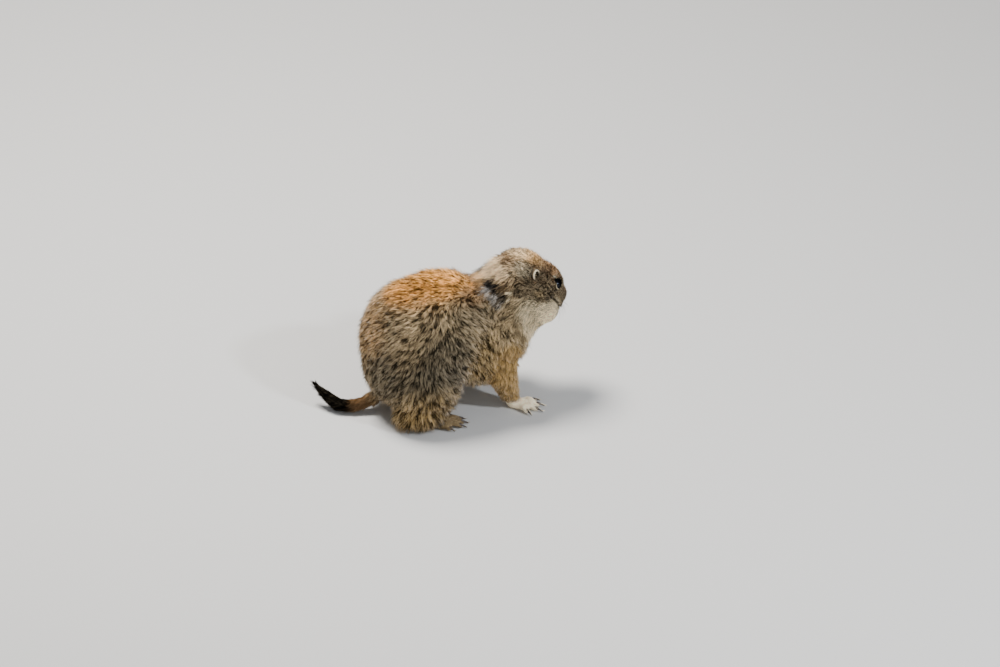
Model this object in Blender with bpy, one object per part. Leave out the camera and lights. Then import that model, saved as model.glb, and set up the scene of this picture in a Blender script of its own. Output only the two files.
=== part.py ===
# A black-tailed prairie dog at life size, hunched on all fours, its head lowered and
# turned to its left. Metres, +X towards the nose, +Y the animal's left, +Z up.
# Every outline is the outside of the coat. The animal stands on small flats at z = 0.
import math

import bmesh
import bpy
from mathutils import Matrix, Vector
from mathutils.bvhtree import BVHTree

for old in list(bpy.data.objects):
    bpy.data.objects.remove(old, do_unlink=True)

# Driving dimensions.
GAP = 0.0003
RUMP_X = -0.0645
HUMP_TOP = 0.137
BELLY_LOW = 0.019
CHEST_X = 0.096
HALF_WIDTH = 0.058
HEAD_AT = Vector((0.1055, 0.005, 0.1235))
HEAD_YAW = math.radians(15)
HEAD_PITCH = math.radians(45)
SNOUT_LENGTH = 0.0453
CHEEK_HALF_WIDTH = 0.027
EYE_RADIUS = 0.0054
LID_THICKNESS = 0.0010
LID_WIDTH = 0.0014
LID_TILT = math.radians(20)
MOUTH_TURN = 74
MOUTH_RISE = 0.30
EAR_HEIGHT = 0.0118
EAR_WIDTH = 0.0070
EAR_RIM = 0.0011
TAIL_RADIUS = 0.0062
FORE_STANCE = 0.027
HIND_STANCE = 0.044
FORE_TOE = 0.0118
HIND_TOE = 0.0125
FORE_CLAW = 0.0080
HIND_CLAW = 0.0060
SIDES = {"right": -1, "left": 1}

# Fineness of the masses and of the finished nodes.
BODY_VOXEL = 0.0017
HEAD_VOXEL = 0.0011
PAW_VOXEL = 0.0008
BODY_TRIANGLES = 3200
HEAD_TRIANGLES = 2300
PAW_TRIANGLES = 360
LARGE_MASS = 0.012
TAIL_SIDES = 12

MATERIALS = {
    "coat": ((0.32, 0.20, 0.10), 0.9),
    "pale_fur": ((0.52, 0.43, 0.30), 0.9),
    "ear_skin": ((0.55, 0.42, 0.32), 0.8),
    "tail_black": ((0.02, 0.017, 0.015), 0.85),
    "nose_leather": ((0.05, 0.035, 0.03), 0.5),
    "eye": ((0.006, 0.005, 0.005), 0.06),
}


def material_named(key):
    material = bpy.data.materials.get(key)
    if material is None:
        material = bpy.data.materials.new(key)
        material.use_nodes = True
        shader = material.node_tree.nodes["Principled BSDF"]
        colour, roughness = MATERIALS[key]
        shader.inputs["Base Color"].default_value = (*colour, 1)
        shader.inputs["Roughness"].default_value = roughness
        shader.inputs["Metallic"].default_value = 0.0
    return material


def new_object(name, mesh_builder, key="coat"):
    mesh = bpy.data.meshes.new(name)
    mesh_builder.to_mesh(mesh)
    mesh_builder.free()
    return link_mesh(name, mesh, key)


def link_mesh(name, mesh, key):
    mesh.materials.append(material_named(key))
    result = bpy.data.objects.new(name, mesh)
    bpy.context.scene.collection.objects.link(result)
    return result


def remove(*pieces):
    for piece in pieces:
        bpy.data.objects.remove(piece, do_unlink=True)


def copy_of(piece, name):
    result = piece.copy()
    result.data = piece.data.copy()
    result.name = name
    bpy.context.scene.collection.objects.link(result)
    return result


# Applies the modifiers by taking the evaluated mesh, and leaves triangles only.
def settle(piece):
    graph = bpy.context.evaluated_depsgraph_get()
    mesh = bpy.data.meshes.new_from_object(piece.evaluated_get(graph))
    piece.modifiers.clear()
    piece.data = mesh
    tidy(piece)
    return piece


# Closes up slivers, keeps the largest closed surface and triangulates.
def tidy(piece):
    builder = bmesh.new()
    builder.from_mesh(piece.data)
    bmesh.ops.remove_doubles(builder, verts=builder.verts, dist=3e-6)
    bmesh.ops.dissolve_degenerate(builder, edges=builder.edges, dist=3e-6)
    bmesh.ops.triangulate(builder, faces=builder.faces)
    keep_largest(builder)
    bmesh.ops.recalc_face_normals(builder, faces=builder.faces)
    builder.to_mesh(piece.data)
    builder.free()


def keep_largest(builder):
    unseen = set(builder.verts)
    islands = []
    while unseen:
        seed = unseen.pop()
        island = {seed}
        edge_of_search = [seed]
        while edge_of_search:
            vert = edge_of_search.pop()
            for edge in vert.link_edges:
                other = edge.other_vert(vert)
                if other in unseen:
                    unseen.discard(other)
                    island.add(other)
                    edge_of_search.append(other)
        islands.append(island)
    islands.sort(key=island_size)
    for island in islands[:-1]:
        bmesh.ops.delete(builder, geom=list(island), context="VERTS")


def island_size(island):
    xs = [vert.co.x for vert in island]
    ys = [vert.co.y for vert in island]
    zs = [vert.co.z for vert in island]
    return (max(xs) - min(xs)) + (max(ys) - min(ys)) + (max(zs) - min(zs))


# A list of masses is a list of (matrix, semi-axes), each one ellipsoid.
def mass(at, semi, frame=None):
    place = Matrix.Translation(Vector(at))
    return (frame @ place if frame is not None else place, semi)


# Round masses strung closely along a smooth path, with radii given at its points.
def string_of_masses(points, radii, frame=None, spacing=0.35):
    masses = []
    for index in range(len(points) - 1):
        start, end = Vector(points[index]), Vector(points[index + 1])
        reach = (end - start).length
        count = max(2, int(reach / (spacing * min(radii[index], radii[index + 1]))))
        for step in range(count + 1):
            share = step / count
            radius = radii[index] * (1 - share) + radii[index + 1] * share
            masses.append(mass(start.lerp(end, share), (radius,) * 3, frame))
    return masses


def unit_ball(segments, rings):
    ball = bmesh.new()
    bmesh.ops.create_uvsphere(ball, u_segments=segments, v_segments=rings, radius=1)
    points = [vert.co.copy() for vert in ball.verts]
    faces = [[vert.index for vert in face.verts] for face in ball.faces]
    ball.free()
    return points, faces


def blend_masses(name, masses, voxel, smoothing, triangles, key="coat"):
    fine, coarse = unit_ball(48, 28), unit_ball(20, 12)
    points, faces = [], []
    for matrix, semi in masses:
        shape = matrix @ Matrix.Diagonal((*semi, 1))
        ball_points, ball_faces = fine if max(semi) > LARGE_MASS else coarse
        faces += [[index + len(points) for index in face] for face in ball_faces]
        points += [shape @ point for point in ball_points]
    mesh = bpy.data.meshes.new(name)
    mesh.from_pydata(points, [], faces)
    piece = link_mesh(name, mesh, key)
    remesh = piece.modifiers.new("blend", "REMESH")
    remesh.mode = "VOXEL"
    remesh.voxel_size = voxel
    smooth = piece.modifiers.new("smooth", "SMOOTH")
    smooth.factor = 0.5
    smooth.iterations = smoothing
    settle(piece)
    thin = piece.modifiers.new("thin", "DECIMATE")
    thin.ratio = triangles / len(piece.data.polygons)
    return settle(piece)


# A tube through rings given by centre, two half widths and their directions.
def loft(name, rings, sides, key="coat"):
    builder = bmesh.new()
    loops = []
    for centre, across, upward in rings:
        loop = []
        for step in range(sides):
            angle = 2 * math.pi * step / sides
            loop.append(builder.verts.new(centre + across * math.cos(angle) + upward * math.sin(angle)))
        loops.append(loop)
    for low, high in zip(loops, loops[1:]):
        for step in range(sides):
            after = (step + 1) % sides
            builder.faces.new((low[step], low[after], high[after], high[step]))
    builder.faces.new(list(reversed(loops[0])))
    builder.faces.new(loops[-1])
    bmesh.ops.recalc_face_normals(builder, faces=builder.faces)
    return new_object(name, builder, key)


# Rings for a round tube along a path, square to it, with the radius at each point.
def tube_rings(points, radii, flatten=1.0):
    rings = []
    for index, point in enumerate(points):
        before = points[max(index - 1, 0)]
        after = points[min(index + 1, len(points) - 1)]
        along = (after - before).normalized()
        across = along.cross(Vector((0, 0, 1)))
        if across.length < 0.1:
            across = along.cross(Vector((0, 1, 0)))
        across.normalize()
        upward = across.cross(along)
        rings.append((point, across * radii[index], upward * radii[index] * flatten))
    return rings


def boolean(piece, operation, cutters):
    group = bpy.data.collections.new("cutters")
    bpy.context.scene.collection.children.link(group)
    for cutter in cutters:
        group.objects.link(cutter)
    change = piece.modifiers.new("change", "BOOLEAN")
    change.operation = operation
    change.operand_type = "COLLECTION"
    change.collection = group
    change.solver = "EXACT"
    settle(piece)
    remove(*cutters)
    bpy.data.collections.remove(group)
    return piece


# A copy swollen by the gap, which cuts the room that a neighbour needs.
def swollen(piece, amount=GAP):
    result = copy_of(piece, piece.name + "_room")
    builder = bmesh.new()
    builder.from_mesh(result.data)
    builder.normal_update()
    moves = [vert.normal * amount for vert in builder.verts]
    for vert, move in zip(builder.verts, moves):
        vert.co += move
    builder.to_mesh(result.data)
    builder.free()
    return result


def make_room(piece, *neighbours):
    return boolean(piece, "DIFFERENCE", [swollen(neighbour) for neighbour in neighbours])


# Cuts a piece by a plane, keeps the side that the normal leaves and caps it.
def cut_flat(piece, point, normal):
    builder = bmesh.new()
    builder.from_mesh(piece.data)
    everything = builder.verts[:] + builder.edges[:] + builder.faces[:]
    cut = bmesh.ops.bisect_plane(
        builder, geom=everything, dist=1e-7, plane_co=point, plane_no=normal, clear_outer=True)
    edges = [item for item in cut["geom_cut"] if isinstance(item, bmesh.types.BMEdge)]
    filled = bmesh.ops.triangle_fill(builder, edges=edges, use_beauty=True, normal=normal)
    if not filled["geom"]:
        bmesh.ops.holes_fill(builder, edges=edges)
    builder.to_mesh(piece.data)
    builder.free()
    tidy(piece)
    return piece


# Parts one body from the rest at a plane, with the gap between the two.
def split(piece, name, point, normal):
    normal = Vector(normal).normalized()
    front = copy_of(piece, name)
    cut_flat(piece, point - normal * GAP / 2, normal)
    cut_flat(front, point + normal * GAP / 2, -normal)
    return front


# Parts off what lies inside an ellipsoid, with the gap round it.
def part_off(piece, name, at, semi):
    inner, outer = [], []
    for group, change in ((inner, -GAP / 2), (outer, GAP / 2)):
        builder = bmesh.new()
        size = [half + change for half in semi]
        shape = Matrix.Translation(Vector(at)) @ Matrix.Diagonal((*size, 1))
        bmesh.ops.create_uvsphere(builder, u_segments=26, v_segments=16, radius=1, matrix=shape)
        group.append(new_object("cutter", builder))
    taken = copy_of(piece, name)
    boolean(taken, "INTERSECT", inner)
    boolean(piece, "DIFFERENCE", outer)
    return taken


def head_frame():
    place = Matrix.Translation(HEAD_AT)
    return place @ Matrix.Rotation(HEAD_YAW, 4, "Z") @ Matrix.Rotation(HEAD_PITCH, 4, "Y")


HEAD = head_frame()
HEAD_FRONT = (HEAD.to_3x3() @ Vector((1, 0, 0))).normalized()


def torso_masses():
    rump_semi = (0.056, HALF_WIDTH - 0.003, 0.062)
    hump_semi = (0.062, HALF_WIDTH - 0.006, 0.056)
    ribs_semi = (0.043, 0.046, 0.049)
    chest_semi = (0.024, 0.028, 0.027)
    masses = [
        mass((RUMP_X + rump_semi[0], 0, 0.0705), rump_semi),
        mass((-0.013, 0, 0.085), (0.046, 0.046, 0.046)),
        mass((-0.029, 0, 0.050), (0.0335, 0.042, 0.043)),
        mass((0.010, 0, HUMP_TOP - hump_semi[2]), hump_semi),
        mass((0.048, 0, BELLY_LOW + ribs_semi[2]), ribs_semi),
        mass((CHEST_X - chest_semi[0], 0, 0.064), chest_semi),
    ]
    for side in SIDES.values():
        masses.append(mass((0.066, side * 0.022, 0.077), (0.027, 0.024, 0.028)))
        masses.append(mass((-0.0105, side * 0.036, 0.044), (0.0350, 0.025, 0.037)))
        masses.append(mass((-0.0160, side * 0.041, 0.021), (0.0255, 0.018, 0.021)))
    return masses


def neck_masses():
    return (
        string_of_masses([(0.050, 0, 0.090), (0.066, 0, 0.106), (0.084, 0.001, 0.1195)],
                         [0.034, 0.031, 0.0275])
        + string_of_masses([(0.070, 0, 0.094), (0.094, 0.003, 0.107)], [0.0285, 0.0265])
        + string_of_masses([(0.080, 0.001, 0.082), (0.104, 0.005, 0.095)], [0.027, 0.024])
    )


def head_masses():
    cheek = CHEEK_HALF_WIDTH
    masses = [
        mass((-0.012, 0, -0.0045), (0.027, cheek - 0.004, 0.0210), HEAD),
        mass((-0.001, 0, -0.0005), (0.025, 0.0210, 0.0168), HEAD),
        mass((0.010, 0, 0.002), (0.024, 0.0185, 0.0155), HEAD),
        mass((0.026, 0, -0.003), (0.0190, 0.0140, 0.0125), HEAD),
        mass((SNOUT_LENGTH - 0.0115, 0, -0.0045), (0.0105, 0.0098, 0.0092), HEAD),
        mass((0.026, 0, -0.0175), (0.0195, 0.0150, 0.0112), HEAD),
        mass((0.0390, 0, -0.0185), (0.0090, 0.0106, 0.0082), HEAD),
        mass((0.0135, 0, -0.0240), (0.0260, 0.0215, 0.0160), HEAD),
        mass((0.0250, 0, -0.0265), (0.0180, 0.0175, 0.0125), HEAD),
    ]
    for side in (-1, 1):
        masses.append(mass((0.001, side * (cheek - 0.0150), -0.010), (0.022, 0.0150, 0.0165), HEAD))
        masses.append(mass((-0.003, side * 0.0105, -0.0190), (0.021, 0.0155, 0.0145), HEAD))
        masses.append(mass((0.019, side * 0.0085, -0.0110), (0.0170, 0.0105, 0.0120), HEAD))
        masses.append(mass((SNOUT_LENGTH - 0.0102, side * 0.0056, -0.0098), (0.0092, 0.0074, 0.0068), HEAD))
        masses.append(mass((0.013, side * 0.0125, 0.0105), (0.0095, 0.0050, 0.0042), HEAD))
        masses.append(mass((0.0125, side * 0.0103, 0.0024), (0.0103, 0.0103, 0.0103), HEAD))
        masses.append(mass((0.0245, side * 0.0088, -0.0230), (0.0178, 0.0122, 0.0125), HEAD))
    return masses


def foreleg_masses(side, step_back):
    shoulder = (0.064 - step_back, side * 0.024, 0.070)
    elbow = (0.065 - step_back, side * (FORE_STANCE + 0.004), 0.042)
    wrist = (0.0745 - step_back, side * FORE_STANCE, 0.011)
    ground = (0.0755 - step_back, side * FORE_STANCE, 0.004)
    return string_of_masses([shoulder, elbow, wrist, ground], [0.020, 0.0150, 0.0085, 0.0080])


# How far each forefoot stands behind the one that leads.
STEP_BACK = {"right": 0.0, "left": 0.014}

# Where each foot's own origin lies and which way it points, outwards positive.
FOREPAW_AT = {side: (0.0765 - STEP_BACK[side], SIDES[side] * FORE_STANCE) for side in SIDES}
FOREPAW_TURN = math.radians(24)
HINDFOOT_AT = {"right": (0.005, -HIND_STANCE), "left": (0.009, HIND_STANCE)}
HINDFOOT_TURN = math.radians(7)
WRIST_CUT = 0.0105


def foot_frame(at, side, turn):
    place = Matrix.Translation(Vector((at[0], at[1], 0)))
    return place @ Matrix.Rotation(side * turn, 4, "Z") @ Matrix.Diagonal((1, side, 1, 1))


# One toe's masses and its claw, from its root on the foot, fanned by its angle.
def toe(frame, root, angle, length, claw_length):
    ahead = Vector((math.cos(angle), math.sin(angle), 0))
    lift = Vector((0, 0, 1))
    start = Vector(root)
    knuckle = start + ahead * length * 0.45 + lift * 0.0008
    tip = start + ahead * length - lift * (root[2] - 0.0030)
    masses = string_of_masses([start, knuckle, tip], [0.0031, 0.0030, 0.0024], frame)
    points, radii = [], []
    for step in range(5):
        share = step / 4
        drop = 0.0022 * share ** 2
        points.append(frame @ (tip + ahead * claw_length * (share + 0.02) + lift * (0.0010 - drop)))
        radii.append(0.0015 * (1 - share) + 0.00035 * share)
    return masses, (points, radii)


def paw(name, frame, masses, toes, toe_length, claw_length):
    claws = []
    for root, angle, share in toes:
        toe_masses, claw = toe(frame, root, angle, toe_length * share, claw_length * (0.6 + 0.4 * share))
        masses = masses + toe_masses
        claws.append(claw)
    piece = blend_masses(name, masses, PAW_VOXEL, 2, PAW_TRIANGLES, "pale_fur")
    horns = [loft("claw", tube_rings(points, radii), 6) for points, radii in claws]
    boolean(piece, "UNION", horns)
    return cut_flat(piece, Vector((0, 0, 0)), Vector((0, 0, -1)))


def forepaw(side_name):
    side = SIDES[side_name]
    frame = foot_frame(FOREPAW_AT[side_name], side, FOREPAW_TURN)
    masses = string_of_masses([(-0.001, 0, 0.016), (0.000, 0, 0.006)], [0.0082, 0.0068], frame)
    masses.append(mass((0.0055, 0, 0.0042), (0.0098, 0.0073, 0.0048), frame))
    toes = [
        ((0.0085, 0.0050, 0.0042), math.radians(38), 0.80),
        ((0.0115, 0.0024, 0.0044), math.radians(12), 1.0),
        ((0.0115, -0.0022, 0.0044), math.radians(-6), 1.0),
        ((0.0090, -0.0056, 0.0040), math.radians(-27), 0.85),
    ]
    piece = paw("forepaw_" + side_name, frame, masses, toes, FORE_TOE, FORE_CLAW)
    return cut_flat(piece, Vector((0, 0, WRIST_CUT - GAP / 2)), Vector((0, 0, 1)))


def hindfoot(side_name):
    side = SIDES[side_name]
    frame = foot_frame(HINDFOOT_AT[side_name], side, HINDFOOT_TURN)
    masses = string_of_masses([(-0.033, 0, 0.0060), (-0.018, 0, 0.0052), (0, 0, 0.0050)],
                              [0.0068, 0.0060, 0.0056], frame)
    masses.append(mass((-0.001, 0, 0.0045), (0.0110, 0.0084, 0.0050), frame))
    toes = [
        ((-0.0020, 0.0072, 0.0040), math.radians(34), 0.70),
        ((0.0040, 0.0048, 0.0044), math.radians(13), 0.95),
        ((0.0055, 0.0008, 0.0045), math.radians(3), 1.0),
        ((0.0045, -0.0034, 0.0044), math.radians(-7), 0.95),
        ((-0.0010, -0.0068, 0.0040), math.radians(-24), 0.70),
    ]
    return paw("hindfoot_" + side_name, frame, masses, toes, HIND_TOE, HIND_CLAW)


# The tail leaves the rump low, sinks to the floor, then sweeps up and to the left.
def tail_path(share):
    root = Vector((-0.040, 0.001, 0.024))
    low = Vector((-0.078, -0.013, -0.004))
    tip = Vector((-0.112, 0.021, 0.0215))
    return root.lerp(low, share).lerp(low.lerp(tip, share), share)


def tail_radius(share):
    swell = 1.0 + 0.18 * math.sin(math.pi * min(1.0, share * 1.15))
    point = max(0.0, (share - 0.72) / 0.28)
    return TAIL_RADIUS * swell * (1 - 0.93 * point ** 2.2)


def tail_whole():
    shares = [step / 22 for step in range(23)]
    points = [tail_path(share) for share in shares]
    radii = [tail_radius(share) for share in shares]
    piece = loft("tail_base", tube_rings(points, radii, 0.9), TAIL_SIDES)
    tidy(piece)
    return cut_flat(piece, Vector((0, 0, 0)), Vector((0, 0, -1)))


def eye_centre(side):
    return HEAD @ Vector((0.0140, side * 0.0151, 0.0052))


def eye_axis(side):
    return (HEAD.to_3x3() @ Vector((0.25, side * 0.82, 0.50))).normalized()


def eyeball(side_name):
    side = SIDES[side_name]
    builder = bmesh.new()
    turn = Vector((0, 0, 1)).rotation_difference(eye_axis(side)).to_matrix().to_4x4()
    bmesh.ops.create_uvsphere(builder, u_segments=16, v_segments=9, radius=EYE_RADIUS,
                              matrix=Matrix.Translation(eye_centre(side)) @ turn)
    return new_object("eye_" + side_name, builder, "eye")


# The two lids as one almond ring that lies on the eyeball, its front corner the lower one.
def lid_ring(side):
    axis = eye_axis(side)
    forward = (HEAD_FRONT - axis * HEAD_FRONT.dot(axis)).normalized()
    upward = axis.cross(forward) * side * -1
    long_way = forward * math.cos(LID_TILT) - upward * math.sin(LID_TILT)
    tall_way = upward * math.cos(LID_TILT) + forward * math.sin(LID_TILT)
    points = []
    for step in range(21):
        angle = 2 * math.pi * step / 20
        spread = long_way * 0.95 * math.cos(angle) + tall_way * 0.72 * math.sin(angle)
        direction = (axis * 0.62 + spread).normalized()
        points.append(eye_centre(side) + direction * (EYE_RADIUS + 0.0004))
    rings = []
    for index, point in enumerate(points):
        after = points[1] if index == 20 else points[index + 1]
        before = points[19] if index == 0 else points[index - 1]
        along = (after - before).normalized()
        outward = (point - eye_centre(side)).normalized()
        rings.append((point, outward * LID_THICKNESS, along.cross(outward) * LID_WIDTH))
    builder = bmesh.new()
    loops = []
    for centre, across, upward_axis in rings[:-1]:
        loops.append([builder.verts.new(centre + across * math.cos(turn) + upward_axis * math.sin(turn))
                      for turn in [2 * math.pi * corner / 6 for corner in range(6)]])
    for index, loop in enumerate(loops):
        ahead = loops[(index + 1) % len(loops)]
        for corner in range(6):
            after = (corner + 1) % 6
            builder.faces.new((loop[corner], loop[after], ahead[after], ahead[corner]))
    bmesh.ops.recalc_face_normals(builder, faces=builder.faces)
    return new_object("lids", builder)


def ear_frame(side):
    up = (HEAD.to_3x3() @ Vector((-0.75, side * 0.12, 0.65))).normalized()
    open_way = (HEAD.to_3x3() @ Vector((0.45, side * 0.86, -0.10))).normalized()
    open_way = (open_way - up * open_way.dot(up)).normalized()
    across = open_way.cross(up)
    turn = Matrix((across, open_way, up)).transposed().to_4x4()
    place = HEAD @ Vector((-0.0180, side * 0.0213, 0.0022))
    return Matrix.Translation(place) @ turn


def ear(side_name):
    frame = ear_frame(SIDES[side_name])
    half_height, half_width = EAR_HEIGHT / 2, EAR_WIDTH / 2
    builder = bmesh.new()
    shell = frame @ Matrix.Diagonal((half_width, 0.0034, half_height, 1))
    bmesh.ops.create_uvsphere(builder, u_segments=14, v_segments=10, radius=1, matrix=shell)
    piece = new_object("ear_" + side_name, builder, "ear_skin")
    builder = bmesh.new()
    hollow = (frame @ Matrix.Translation((0, 0.0022, 0.0009))
              @ Matrix.Diagonal((half_width - EAR_RIM, 0.0036, half_height - 1.7 * EAR_RIM, 1)))
    bmesh.ops.create_uvsphere(builder, u_segments=12, v_segments=8, radius=1, matrix=hollow)
    return boolean(piece, "DIFFERENCE", [new_object("cup", builder)])


def nose_pad():
    builder = bmesh.new()
    place = HEAD @ Matrix.Translation((SNOUT_LENGTH - 0.0022, 0, -0.0012))
    bmesh.ops.create_uvsphere(builder, u_segments=12, v_segments=8, radius=1,
                              matrix=place @ Matrix.Diagonal((0.0024, 0.0042, 0.0034, 1)))
    piece = new_object("nose", builder, "nose_leather")
    nostrils = []
    for side in (-1, 1):
        builder = bmesh.new()
        hole = place @ Matrix.Translation((0.0020, side * 0.0023, -0.0004))
        bmesh.ops.create_uvsphere(builder, u_segments=8, v_segments=5, radius=1,
                                  matrix=hole @ Matrix.Diagonal((0.0013, 0.0009, 0.0012, 1)))
        nostrils.append(new_object("nostril", builder))
    return boolean(piece, "DIFFERENCE", nostrils)


# The closed mouth: a groove on the muzzle's own surface, below the lip pads.
def mouth_groove(head):
    graph = bpy.context.evaluated_depsgraph_get()
    surface = BVHTree.FromObject(head, graph)
    middle = HEAD @ Vector((0.012, 0, -0.0120))
    points = []
    for step in range(17):
        angle = math.radians(MOUTH_TURN * (step / 8 - 1))
        rise = MOUTH_RISE * math.sin(angle) ** 2
        away = HEAD.to_3x3() @ Vector((math.cos(angle), math.sin(angle), rise))
        points.append(surface.ray_cast(middle, away.normalized())[0])
    radii = [0.0009] * len(points)
    radii[0] = radii[-1] = 0.0004
    return loft("mouth", tube_rings(points, radii), 6)


body = blend_masses(
    "torso",
    torso_masses() + neck_masses() + head_masses()
    + foreleg_masses(-1, STEP_BACK["right"]) + foreleg_masses(1, STEP_BACK["left"]),
    BODY_VOXEL, 10, BODY_TRIANGLES)
cut_flat(body, Vector((0, 0, 0.0004)), Vector((0, 0, -1)))

# The head is blended again, finer, from its own masses and the neck's.
head_whole = blend_masses("head", head_masses() + neck_masses(), HEAD_VOXEL, 14, HEAD_TRIANGLES)
HEAD_CUT = Vector((0.079, 0, 0.143))
HEAD_CUT_NORMAL = Vector((0.92, 0.10, 0.39)).normalized()
cut_flat(head_whole, HEAD_CUT + HEAD_CUT_NORMAL * GAP / 2, -HEAD_CUT_NORMAL)
cut_flat(body, HEAD_CUT - HEAD_CUT_NORMAL * GAP / 2, HEAD_CUT_NORMAL)
split(body, "neck", Vector((0.072, 0, 0.100)), (0.80, 0.0, 0.60))

for side_name, side in SIDES.items():
    back = STEP_BACK[side_name]
    foreleg = part_off(body, "foreleg_" + side_name, (0.069 - back, side * 0.034, 0.036),
                       (0.0215, 0.0220, 0.0550))
    cut_flat(foreleg, Vector((0, 0, WRIST_CUT + GAP / 2)), Vector((0, 0, -1)))
    forepaw(side_name)
    foot = hindfoot(side_name)
    hindleg = part_off(body, "hindleg_" + side_name, (-0.010, side * 0.052, 0.030), (0.040, 0.026, 0.046))
    make_room(hindleg, foot)
    make_room(body, foot)
    eye = eyeball(side_name)
    boolean(head_whole, "UNION", [lid_ring(side)])
    make_room(head_whole, eye)
    make_room(head_whole, ear(side_name))

boolean(head_whole, "DIFFERENCE", [mouth_groove(head_whole)])
make_room(head_whole, nose_pad())

tail = tail_whole()
make_room(body, tail)
tail_tip = split(tail, "tail_tip", tail_path(0.55), tail_path(0.56) - tail_path(0.54))
tail_tip.data.materials[0] = material_named("tail_black")

# The origin goes to the middle of the whole animal's box, at the floor.
pieces = [item for item in bpy.context.scene.objects if item.type == "MESH"]
corners = [vert.co for item in pieces for vert in item.data.vertices]
middle_x = (min(co.x for co in corners) + max(co.x for co in corners)) / 2
middle_y = (min(co.y for co in corners) + max(co.y for co in corners)) / 2
for item in pieces:
    item.data.transform(Matrix.Translation((-middle_x, -middle_y, 0)))
    item.data.shade_smooth()
    item.data.set_sharp_from_angle(angle=math.radians(50))
print("origin moved by", round(-middle_x, 5), round(-middle_y, 5))
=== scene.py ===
import math

import bmesh
import bpy
import numpy as np
from mathutils import Matrix, Vector
from mathutils.bvhtree import BVHTree
from mathutils.kdtree import KDTree


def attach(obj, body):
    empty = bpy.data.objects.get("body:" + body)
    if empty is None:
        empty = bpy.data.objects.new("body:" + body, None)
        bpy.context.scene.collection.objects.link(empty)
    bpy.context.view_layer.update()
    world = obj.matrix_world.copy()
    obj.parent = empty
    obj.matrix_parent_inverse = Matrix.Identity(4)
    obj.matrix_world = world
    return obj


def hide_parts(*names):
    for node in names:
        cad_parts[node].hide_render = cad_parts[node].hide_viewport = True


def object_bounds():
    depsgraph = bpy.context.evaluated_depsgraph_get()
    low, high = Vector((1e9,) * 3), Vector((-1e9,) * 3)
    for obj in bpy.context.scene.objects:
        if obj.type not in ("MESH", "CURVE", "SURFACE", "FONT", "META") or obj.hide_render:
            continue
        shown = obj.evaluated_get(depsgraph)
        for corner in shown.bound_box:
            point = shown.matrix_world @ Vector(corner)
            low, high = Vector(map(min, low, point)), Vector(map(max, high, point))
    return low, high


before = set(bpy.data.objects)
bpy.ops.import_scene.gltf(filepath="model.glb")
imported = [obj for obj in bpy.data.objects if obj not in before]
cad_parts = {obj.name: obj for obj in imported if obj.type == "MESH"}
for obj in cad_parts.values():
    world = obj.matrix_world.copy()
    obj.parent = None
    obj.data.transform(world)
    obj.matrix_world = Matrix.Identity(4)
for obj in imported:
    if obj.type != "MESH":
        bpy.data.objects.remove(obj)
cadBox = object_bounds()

# The head's own axes, x to the nose, y to the animal's left, z up through the crown.
origin = Vector((-0.01241, 0, 0))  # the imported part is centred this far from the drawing's origin
headAt = {"place": (0.1055, 0.005, 0.1235), "turn": 15, "nod": 45}
headFrame = (Matrix.Translation(Vector(headAt["place"]) + origin)
             @ Matrix.Rotation(math.radians(headAt["turn"]), 4, "Z")
             @ Matrix.Rotation(math.radians(headAt["nod"]), 4, "Y"))
headInverse = np.array(headFrame.inverted())
headTurn = np.array(headFrame.to_3x3())
sides = {"right": -1, "left": 1}


def unit(rows):
    return rows / np.maximum(np.linalg.norm(rows, axis=-1, keepdims=True), 1e-9)


def smoothStep(low, high, values):
    share = np.clip((values - low) / (high - low), 0, 1)
    return share * share * (3 - 2 * share)


def linear(colour):
    parts = np.array(colour) / 255
    return np.where(parts <= 0.04045, parts / 12.92, ((parts + 0.055) / 1.055) ** 2.4)


def toHead(points):
    return points @ headInverse[:3, :3].T + headInverse[:3, 3]


def sided(place, side):
    return Vector(place) * Vector((1, side, 1))


def mixed(first, second, share):
    return first * (1 - share[:, None]) + second * share[:, None]


def selectOnly(*pieces):
    bpy.ops.object.select_all(action="DESELECT")
    for piece in pieces:
        piece.select_set(True)
    if pieces:
        bpy.context.view_layer.objects.active = pieces[0]


def placed(name, data):
    piece = bpy.data.objects.new(name, data)
    bpy.context.scene.collection.objects.link(piece)
    return piece


def copied(piece):
    copy = piece.copy()
    copy.data = piece.data.copy()
    bpy.context.scene.collection.objects.link(copy)
    return copy


def readRows(items, key, width, kind=float):
    flat = np.empty(len(items) * width, dtype=kind)
    items.foreach_get(key, flat)
    return flat.reshape(-1, width)


def readPoints(mesh):
    return readRows(mesh.vertices, "co", 3)


def readNormals(mesh):
    return readRows(mesh.vertex_normals, "vector", 3)


def writePoints(mesh, points):
    mesh.vertices.foreach_set("co", points.ravel())
    mesh.update()


def applyModifiers(piece):
    selectOnly(piece)
    for modifier in list(piece.modifiers):
        bpy.ops.object.modifier_apply(modifier=modifier.name)


# Closes a piece into one surface of even faces and rounds it.
def blend(piece, voxel, rounds):
    remesh = piece.modifiers.new("blend", "REMESH")
    remesh.mode = "VOXEL"
    remesh.voxel_size = voxel
    smooth = piece.modifiers.new("smooth", "SMOOTH")
    smooth.factor = 0.5
    smooth.iterations = rounds
    applyModifiers(piece)


def closeOutward(piece):
    selectOnly(piece)
    bpy.ops.object.mode_set(mode="EDIT")
    bpy.ops.mesh.select_all(action="SELECT")
    bpy.ops.mesh.normals_make_consistent(inside=False)
    bpy.ops.object.mode_set(mode="OBJECT")
    bpy.ops.object.shade_smooth()


def plainMaterial(name, colour, roughness, specular=0.5):
    paint = bpy.data.materials.new(name)
    paint.use_nodes = True
    shader = paint.node_tree.nodes["Principled BSDF"]
    shader.inputs["Base Color"].default_value = (*colour, 1)
    shader.inputs["Roughness"].default_value = roughness
    shader.inputs["Specular IOR Level"].default_value = specular
    return paint


def finished(piece):
    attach(piece, "root")


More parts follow.
